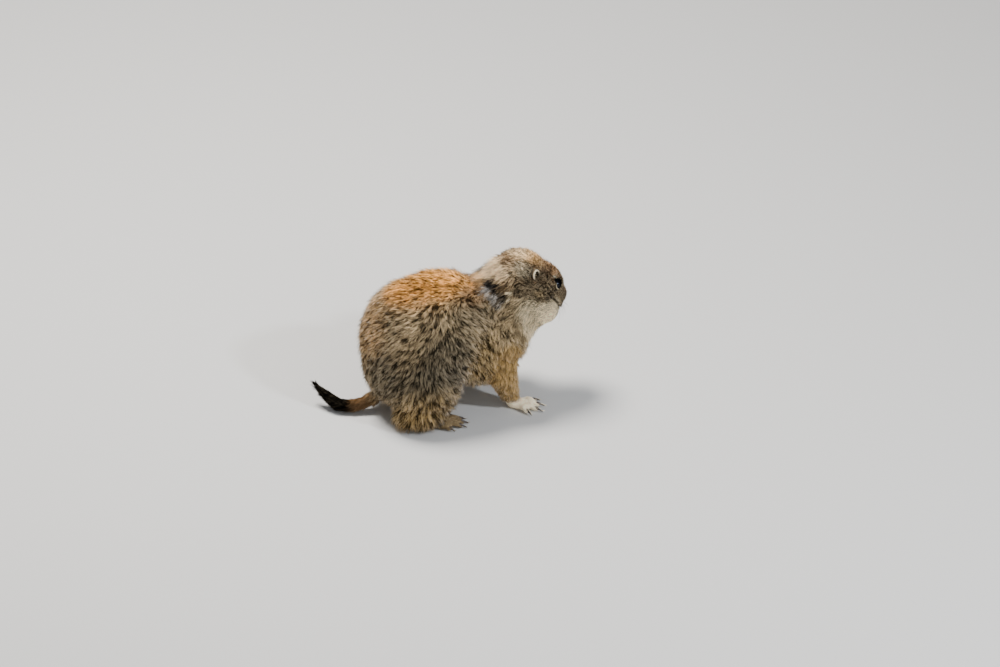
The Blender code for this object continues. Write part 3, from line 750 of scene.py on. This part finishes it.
# Round each eye the coat gets short, the rim is black and the lower lid's edge is pale.
def dressLids(points, sizes, colours):
    for side in sides.values():
        outside, reach, along, above = lidEdge(points, side)
        isNear = reach < 0.0125
        close = np.where(isNear, smoothStep(0.0006, 0.005, outside), 1)[:, None]
        sizes *= (0.3, 0.3, 0.6, 1.6) + np.array((0.7, 0.7, 0.4, -0.6)) * close
        corner = np.exp(-((along - 0.0062) / 0.002) ** 2 - (above / 0.0009) ** 2)
        rim = np.maximum(1 - smoothStep(0.0008, 0.0015, outside), corner)
        colours = painted(colours, "black", np.where(isNear, rim, 0))
        below = smoothStep(0, -0.002, above) * smoothStep(-0.005, -0.003, along)
        ring = smoothStep(-0.0001, 0.0002, outside) * (1 - smoothStep(0.0005, 0.001, outside)) * below
        colours = painted(colours, "pale", np.where(isNear, 0.5 * ring, 0))
    return colours


nose = {"at": (0.0431, 0, -0.0012), "half": (0.0027, 0.0041, 0.0033), "nostril": (0.0019, 0.0024, -0.0006),
        "hole": (0.0016, 0.00075, 0.0013), "slant": 28, "toe": 32, "voxel": 0.00022}
skin = blendedSkin()
refineFace(skin, 0.01, 0.018)
refineFace(skin, 0.0078, 1.0)
print("skin blended:", len(skin.data.vertices), "points")
points = readPoints(skin.data)
edges = readRows(skin.data.edges, "vertices", 2, np.int32)
shares = familyShares(nearestNode(points), edges, 24)
points = evenNeck(points, edges, shares)
filled = bulge(points, napeFill) + bulge(toHead(points), chinFill)
points += readNormals(skin.data) * filled[:, None]
writePoints(skin.data, points)
sizes = coatAt(points, shares)
points -= readNormals(skin.data) * rootDepth(points, sizes)[:, None]
points = slimTail(points, shares)
writePoints(skin.data, points)
points, lidsBare = shapeLids(points)
headShare = smoothStep(0.3, 0.7, shareOf(shares, "head"))
points, lipLine, shortHairAndShade = shapeMouth(points, readNormals(skin.data), headShare)
writePoints(skin.data, points)
print("skin sunk to the coat's roots, lids and lips shaped")

hairBands = hairGroup()
furPaint = hairMaterial("furPaint", hairBands, 0.8, sheen=True)
skinPaint = hairMaterial("skinPaint", hairBands, 0.85, sheen=False)
addGrit(skinPaint, 900, 0.35, 0.0004)
skin.data.materials.clear()
skin.data.materials.append(skinPaint)
selectOnly(skin)
bpy.ops.object.shade_smooth()
unwrap(skin)
print("skin unwrapped")

normals = readNormals(skin.data)
lie = spread(lieOf(points, normals, shares), edges, 12)
ahead = unit(lie - normals * (lie * normals).sum(axis=1, keepdims=True))
seen = points + ahead * sizes[:, 1:2] * 0.6 + normals * sizes[:, :1]
colours = markingsAndLight(seen, normals, shares)
sizes[:, :2] *= 1 - 0.75 * shortHairAndShade[:, None]
colours = dressLids(points, sizes, colours)
# Painted shade: the mouth's groove, the cleft under the nose and a strip along the mouth are darkened.
colours *= (1 - 0.85 * np.maximum(lipLine.clip(0, 1), shortHairAndShade ** 3))[:, None]
triangles, loops = readTriangles(skin.data)
ground = {"points": points, "normals": normals, "sizes": sizes, "lie": lie, "colours": colours,
          "fleck": fleckAt(seen, normals, shares),
          "triangles": triangles, "loops": loops, "unwrap": readUnwrap(skin.data)}
addColours(skin.data, colours)
addValues(skin.data, "along", 0.62 - 0.34 * smoothStep(0.0006, 0.0024, sizes[:, 0]))
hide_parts(*fleshNodes)
finished(skin)

middles = points[triangles].mean(axis=1)
family = np.array(families)[shares[triangles].mean(axis=1).argmax(axis=1)]
rightSide = middles[:, 1] < 0
upper = middles[:, 2] > 0.085
furred = np.maximum(lidsBare, lipLine > 0.5)[triangles].max(axis=1) < 0.5
front = toHead(middles)[:, 0] > 0.0
coats = [
    ("coatBackRight", (family == "torso") & rightSide & upper, 27000, "coat", 11),
    ("coatBackLeft", (family == "torso") & ~rightSide & upper, 24000, "coat", 12),
    ("coatFlankRight", (family == "torso") & rightSide & ~upper, 29000, "coat", 13),
    ("coatFlankLeft", (family == "torso") & ~rightSide & ~upper, 25000, "coat", 14),
    ("coatHaunchRight", (family == "hindleg") & rightSide, 16500, "coat", 15),
    ("coatHaunchLeft", (family == "hindleg") & ~rightSide, 14500, "coat", 16),
    ("coatNeck", family == "neck", 22000, "coat", 17),
    ("coatHead", (family == "head") & furred & ~front, 21000, "coat", 18, 3),
    ("coatFace", (family == "head") & furred & front, 26000, "coat", 19, 4),
    ("coatForelegs", family == "foreleg", 15000, "coat", 20),
    ("coatFeet", (family == "forepaw") | (family == "hindfoot"), 10000, "pale_fur", 21),
    ("coatTail", family == "tail", 11000, "tail_black", 22),
]
for name, chosen, count, slotName, seed, *perLock in coats:
    growCoat(name, ground, np.flatnonzero(chosen), count, slotName, seed, *perLock)
    print(name, int(chosen.sum()), "faces,", count, "tufts")


def shaped(piece, matrix):
    piece.data.transform(matrix)
    piece.matrix_world = Matrix.Identity(4)
    return piece


def ball(name, matrix, segments=32, rings=20):
    selectOnly()
    bpy.ops.mesh.primitive_uv_sphere_add(segments=segments, ring_count=rings, radius=1)
    piece = bpy.context.active_object
    piece.name = name
    return shaped(piece, matrix)


def carved(piece, cutters, voxel, smoothing):
    for cutter in cutters:
        cut = piece.modifiers.new("cut", "BOOLEAN")
        cut.operation = "DIFFERENCE"
        cut.solver = "EXACT"
        cut.object = cutter
        applyModifiers(piece)
        bpy.data.objects.remove(cutter, do_unlink=True)
    blend(piece, voxel, smoothing)
    bpy.ops.object.shade_smooth()


# The eye mirrors a little of what faces it and nothing at its rim, so it stays black all round.
def eyeMaterial():
    paint = plainMaterial("eyeBlack", (0.019, 0.02, 0.024), 0.05)
    shader = paint.node_tree.nodes["Principled BSDF"]
    shader.inputs["Metallic"].default_value = 1.0
    shader.inputs["Specular Tint"].default_value = (0, 0, 0, 1)
    return paint


def makeEyes():
    paint = eyeMaterial()
    for sideName, side in sides.items():
        centre, axis, longWay, tallWay = eyeFacts(side)
        turn = Matrix((longWay, tallWay, axis)).transposed().to_4x4()
        place = Matrix.Translation(centre) @ turn @ Matrix.Scale(eyes["radius"], 4)
        eye = ball("eyeball" + sideName.capitalize(), place, 48, 32)
        selectOnly(eye)
        bpy.ops.object.shade_smooth()
        eye.data.materials.append(paint)
        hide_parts("eye_" + sideName)
        finished(eye)


def makeNose():
    middle = headFrame @ Matrix.Translation(nose["at"])
    nostrils = []
    for side in sides.values():
        place = middle @ Matrix.Translation(sided(nose["nostril"], side))
        place = place @ Matrix.Rotation(side * math.radians(nose["slant"]), 4, "X")
        place = place @ Matrix.Rotation(side * math.radians(nose["toe"]), 4, "Z")
        nostrils.append(ball("nostril", place @ Matrix.Diagonal((*nose["hole"], 1)), 20, 12))
    pad = ball("nosePad", middle @ Matrix.Diagonal((*nose["half"], 1)), 40, 24)
    carved(pad, nostrils, nose["voxel"], 5)
    pad.data.materials.append(plainMaterial("noseLeather", (0.06, 0.038, 0.03), 0.45, specular=0.4))
    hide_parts("nose")
    finished(pad)


ears = {"at": (-0.018, 0.0213, 0.0022), "up": (-0.75, 0.12, 0.65), "open": (0.45, 0.86, -0.1),
        "half": (0.0035, 0.0032, 0.0059), "hollow": (0.0028, 0.0036, 0.0051),
        "hollowAt": (0, 0.0022, 0.0003), "voxel": 0.00025, "tufts": 1400,
        "coat": (0.0004, 0.0017, 0.0002, 1.0)}


def earFrame(side):
    turn = headFrame.to_3x3()
    up = (turn @ sided(ears["up"], side)).normalized()
    openWay = (turn @ sided(ears["open"], side)).normalized()
    openWay = (openWay - up * openWay.dot(up)).normalized()
    place = headFrame @ sided(ears["at"], side)
    return Matrix.Translation(place) @ Matrix((openWay.cross(up), openWay, up)).transposed().to_4x4()


# The ear's colours: a cream rim and olive round it, and painted shade darkening the hollow to black. Also
# how much each point is inside.
def earColours(local, facing):
    ahead, height = local[:, 0] / ears["half"][0], local[:, 2] / ears["half"][2]
    inside = smoothStep(-0.1, 0.4, facing) * (1 - smoothStep(0.74, 0.88, np.hypot(ahead, height)))
    edge = smoothStep(-0.9, -0.2, height - 0.8 * np.maximum(ahead, 0))
    edge = edge * smoothStep(-0.0004, 0.0006, local[:, 1])
    tone = painted(tones["olive"], "cream", edge)
    # Painted shade: the hollow is darkened, and to near black above its bottom.
    tone = mixed(tone, tones["olive"] * 0.7, inside)
    return mixed(tone, tones["black"] * 0.5, inside * smoothStep(-0.85, -0.5, height)), inside


def makeEar(sideName, side):
    place = earFrame(side)
    inner = place @ Matrix.Translation(ears["hollowAt"]) @ Matrix.Diagonal((*ears["hollow"], 1))
    hollow = ball("hollow", inner)
    piece = ball("ear" + sideName.capitalize(), place @ Matrix.Diagonal((*ears["half"], 1)))
    carved(piece, [hollow], ears["voxel"], 4)
    unwrap(piece)
    spots, facing = readPoints(piece.data), readNormals(piece.data)
    turn = np.array(place.to_3x3())
    local = (spots - np.array(place.translation)) @ turn
    tone, inside = earColours(local * (side, 1, 1), (facing @ turn)[:, 1])
    addColours(piece.data, tone)
    addValues(piece.data, "along", np.full(len(spots), 0.6))
    piece.data.materials.append(skinPaint)
    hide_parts("ear_" + sideName)
    finished(piece)
    triangles, loops = readTriangles(piece.data)
    soil = {"points": spots, "normals": facing, "sizes": np.tile(ears["coat"], (len(spots), 1)),
            "lie": np.tile(turn[:, 2] * 0.6 + turn[:, 1] * 0.5, (len(spots), 1)), "colours": tone,
            "fleck": np.zeros(len(spots)), "triangles": triangles, "loops": loops,
            "unwrap": readUnwrap(piece.data)}
    outer = np.flatnonzero(inside[triangles[:, 0]] < 0.3)
    growCoat("coatEar" + sideName.capitalize(), soil, outer, ears["tufts"], "ear_skin", 31 + side, 4)


makeEyes()
makeNose()
for sideName, side in sides.items():
    makeEar(sideName, side)
print("eyes, nose and ears made")

# Each foot's place and side. The fore feet turn out more and have longer claws.
feet = {
    "foreRight": ("fore", (0.0765, -0.027), -1), "foreLeft": ("fore", (0.0625, 0.027), 1),
    "hindRight": ("hind", (0.005, -0.044), -1), "hindLeft": ("hind", (0.009, 0.044), 1),
}
footKinds = {"fore": {"turn": 24, "toe": 0.0118, "claw": 0.007},
             "hind": {"turn": 7, "toe": 0.0125, "claw": 0.006}}
toes = {
    "fore": [((0.0085, 0.005, 0.0042), 38, 0.8), ((0.0115, 0.0024, 0.0044), 12, 1.0),
             ((0.0115, -0.0022, 0.0044), -6, 1.0), ((0.009, -0.0056, 0.004), -27, 0.85)],
    "hind": [((-0.002, 0.0072, 0.004), 34, 0.7), ((0.004, 0.0048, 0.0044), 13, 0.95),
             ((0.0055, 0.0008, 0.0045), 3, 1.0), ((0.0045, -0.0034, 0.0044), -7, 0.95),
             ((-0.001, -0.0068, 0.004), -24, 0.7)],
}
clawLook = {"length": 0.009, "root": 0.00165, "tip": 0.00022, "drop": 0.0026, "back": 0.0016, "slim": 0.72,
            "steps": 9, "sides": 12, "height": 0.004}


# One claw pointing along x, extruded ring by ring from its root.
def clawPattern():
    selectOnly()
    bpy.ops.mesh.primitive_circle_add(vertices=clawLook["sides"], radius=clawLook["root"], fill_type="NGON",
                                      rotation=(0, math.pi / 2, 0), location=(-clawLook["back"], 0, 0))
    piece = bpy.context.active_object
    piece.name = "claws"
    bpy.ops.object.transform_apply(location=True, rotation=True, scale=True)
    bpy.ops.object.mode_set(mode="EDIT")
    bpy.ops.mesh.select_all(action="SELECT")
    reach = (clawLook["length"] + clawLook["back"]) / clawLook["steps"]
    radius, height = clawLook["root"], 0.0
    for step in range(1, clawLook["steps"] + 1):
        share = step / clawLook["steps"]
        wanted = clawLook["root"] * (1 - share) ** 0.85 + clawLook["tip"]
        sink = -clawLook["drop"] * share ** 2
        bpy.ops.mesh.extrude_region_move(TRANSFORM_OT_translate={"value": (reach, 0, sink - height)})
        bpy.ops.transform.resize(value=(1, wanted / radius, wanted / radius),
                                 center_override=(-clawLook["back"] + reach * step, 0, sink))
        radius, height = wanted, sink
    bpy.ops.mesh.select_all(action="SELECT")
    bpy.ops.transform.resize(value=(1, clawLook["slim"], 1), center_override=(0, 0, 0))
    bpy.ops.mesh.fill_holes(sides=0)
    bpy.ops.object.mode_set(mode="OBJECT")
    closeOutward(piece)
    return piece


def footFrame(kind, at, side):
    return (Matrix.Translation(Vector((*at, 0)) + origin)
            @ Matrix.Rotation(side * math.radians(footKinds[kind]["turn"]), 4, "Z")
            @ Matrix.Diagonal((1, side, 1, 1)))


# Where each claw leaves its toe, and its length.
def clawPlaces():
    places = []
    for kind, at, side in feet.values():
        for root, angle, share in toes[kind]:
            ahead = Vector((math.cos(math.radians(angle)), math.sin(math.radians(angle)), 0))
            tip = Vector(root) + ahead * footKinds[kind]["toe"] * share
            tip.z = clawLook["height"]
            place = footFrame(kind, at, side) @ Matrix.Translation(tip)
            place = place @ Matrix.Rotation(math.radians(angle), 4, "Z")
            places.append((place, footKinds[kind]["claw"] * (0.6 + 0.4 * share)))
    return places


def makeClaws():
    pattern = clawPattern()
    copies = []
    for place, length in clawPlaces():
        copy = copied(pattern)
        shaped(copy, place @ Matrix.Scale(length / clawLook["length"], 4, (1, 0, 0)))
        if place.determinant() < 0:
            copy.data.flip_normals()
        copies.append(copy)
    bpy.data.objects.remove(pattern, do_unlink=True)
    selectOnly(*copies)
    bpy.ops.object.join()
    claws = bpy.context.active_object
    claws.name = "claws"
    spots = readPoints(claws.data)
    spots[:, 2] = np.maximum(spots[:, 2], 0.0001)
    writePoints(claws.data, spots)
    claws.data.materials.append(plainMaterial("clawHorn", (0.05, 0.036, 0.028), 0.32, specular=0.5))
    finished(claws)


makeClaws()
print("claws made")

whiskers = {"rows": [(-0.005, 3), (-0.007, 4), (-0.009, 4), (-0.0108, 3)], "fromX": 0.0325,
            "stepX": 0.0028, "length": (0.015, 0.026), "radius": 0.00011, "rings": 7, "brows": 3}


def hairTube(start, way, bend, length, thin=1.0):
    rings = []
    for step in range(whiskers["rings"]):
        share = step / (whiskers["rings"] - 1)
        centre = start + way * length * share + bend * length * share ** 2
        side = way.cross(Vector((0, 0, 1))).normalized()
        upward = side.cross(way).normalized()
        size = whiskers["radius"] * thin * (1 - 0.88 * share)
        rings.append([centre + side * size * math.cos(turn) + upward * size * math.sin(turn)
                      for turn in (0, 2.094, 4.189)])
    return rings


def whiskerRows(surface, dice):
    turn = headFrame.to_3x3()
    rows = []
    for side in sides.values():
        for height, count in whiskers["rows"]:
            for index in range(count):
                inside = headFrame @ Vector((whiskers["fromX"] + whiskers["stepX"] * index, 0, height))
                hit = surface.ray_cast(inside, turn @ Vector((0.12, side, 0)))[0]
                way = turn @ Vector((0.2 + 0.1 * index - dice.uniform(0, 0.25), side * 0.8,
                                     -0.55 + (height + 0.012) * 90 + dice.uniform(-0.12, 0.12)))
                length = dice.uniform(*whiskers["length"]) * (1 - 0.1 * index)
                rows.append(hairTube(hit, way.normalized(), turn @ Vector((-0.32, 0, -0.14)), length))
        for index in range(whiskers["brows"]):
            inside = headFrame @ Vector((0.0155, side * 0.008, 0.008))
            hit = surface.ray_cast(inside, turn @ Vector((-0.2 + 0.25 * index, side * 0.75, 0.62)))[0]
            way = turn @ Vector((-0.35 + 0.2 * index, side * 0.55, 0.75))
            rows.append(hairTube(hit, way.normalized(), turn @ Vector((-0.3, 0, -0.05)), 0.01, 0.8))
    return rows


def makeWhiskers():
    surface = BVHTree.FromPolygons([tuple(point) for point in points], [tuple(face) for face in triangles])
    spots, faces = [], []
    for rings in whiskerRows(surface, np.random.default_rng(41)):
        first = len(spots)
        for ring in rings:
            spots += ring
        for step in range(len(rings) - 1):
            for corner in range(3):
                low, after = first + step * 3 + corner, first + step * 3 + (corner + 1) % 3
                faces.append((low, low + 3, after + 3, after))
        last = len(spots) - 3
        faces += [(first, first + 1, first + 2), (last + 2, last + 1, last)]
    mesh = bpy.data.meshes.new("whiskers")
    mesh.from_pydata(spots, [], faces)
    piece = placed("whiskers", mesh)
    closeOutward(piece)
    piece.data.materials.append(plainMaterial("whiskerBlack", (0.02, 0.016, 0.014), 0.4))
    finished(piece)


makeWhiskers()
print("whiskers made")

view = {"azimuth": 13, "elevation": 32, "distance": 5.278, "lens": 200, "across": 0.0684, "up": 0.064125}


def placeCamera():
    azimuth, elevation = math.radians(view["azimuth"]), math.radians(view["elevation"])
    ahead = Vector((math.sin(azimuth) * math.cos(elevation), math.cos(azimuth) * math.cos(elevation),
                    -math.sin(elevation)))
    right = Vector((math.cos(azimuth), -math.sin(azimuth), 0))
    up = right.cross(ahead)
    target = right * view["across"] + up * view["up"] + origin
    camera = bpy.data.cameras.new("camera")
    camera.lens = view["lens"]
    camera.sensor_width = 36
    camera.clip_end = 50
    holder = placed("camera", camera)
    turn = Matrix((right, up, -ahead)).transposed()
    holder.matrix_world = Matrix.Translation(target - ahead * view["distance"]) @ turn.to_4x4()
    bpy.context.scene.camera = holder


lights = {
    "key": {"at": (-0.4, 0.45, 1.6), "size": 0.6, "power": 52, "colour": (1.0, 0.975, 0.94)},
    "fill": {"at": (0.45, -1.5, 0.75), "size": 1.2, "power": 5, "colour": (0.97, 0.98, 1.0)},
    "catch": {"at": (0.864, -0.92, 1.05), "size": 0.12, "power": 16, "colour": (0.86, 0.92, 1.0)},
}
room = {"colour": (0.8, 0.82, 0.85, 1), "strength": 0.38}


def placeLights():
    for name, facts in lights.items():
        lamp = bpy.data.lights.new(name, "AREA")
        lamp.shape = "DISK"
        lamp.size = facts["size"]
        lamp.energy = facts["power"]
        lamp.color = facts["colour"]
        holder = placed(name, lamp)
        holder.location = facts["at"]
        aim = Vector((0, 0, 0.07)) - Vector(facts["at"])
        holder.rotation_euler = aim.to_track_quat("-Z", "Y").to_euler()
        holder.visible_camera = False
    world = bpy.data.worlds.new("room")
    world.use_nodes = True
    world.node_tree.nodes["Background"].inputs["Color"].default_value = room["colour"]
    world.node_tree.nodes["Background"].inputs["Strength"].default_value = room["strength"]
    bpy.context.scene.world = world


def placeFloor():
    selectOnly()
    bpy.ops.mesh.primitive_plane_add(size=12, location=(0, 0, -0.0002))
    floor = bpy.context.active_object
    floor.name = "floor"
    floor.data.materials.append(plainMaterial("paleFloor", (0.62, 0.61, 0.59), 0.8))


placeFloor()
placeLights()
placeCamera()
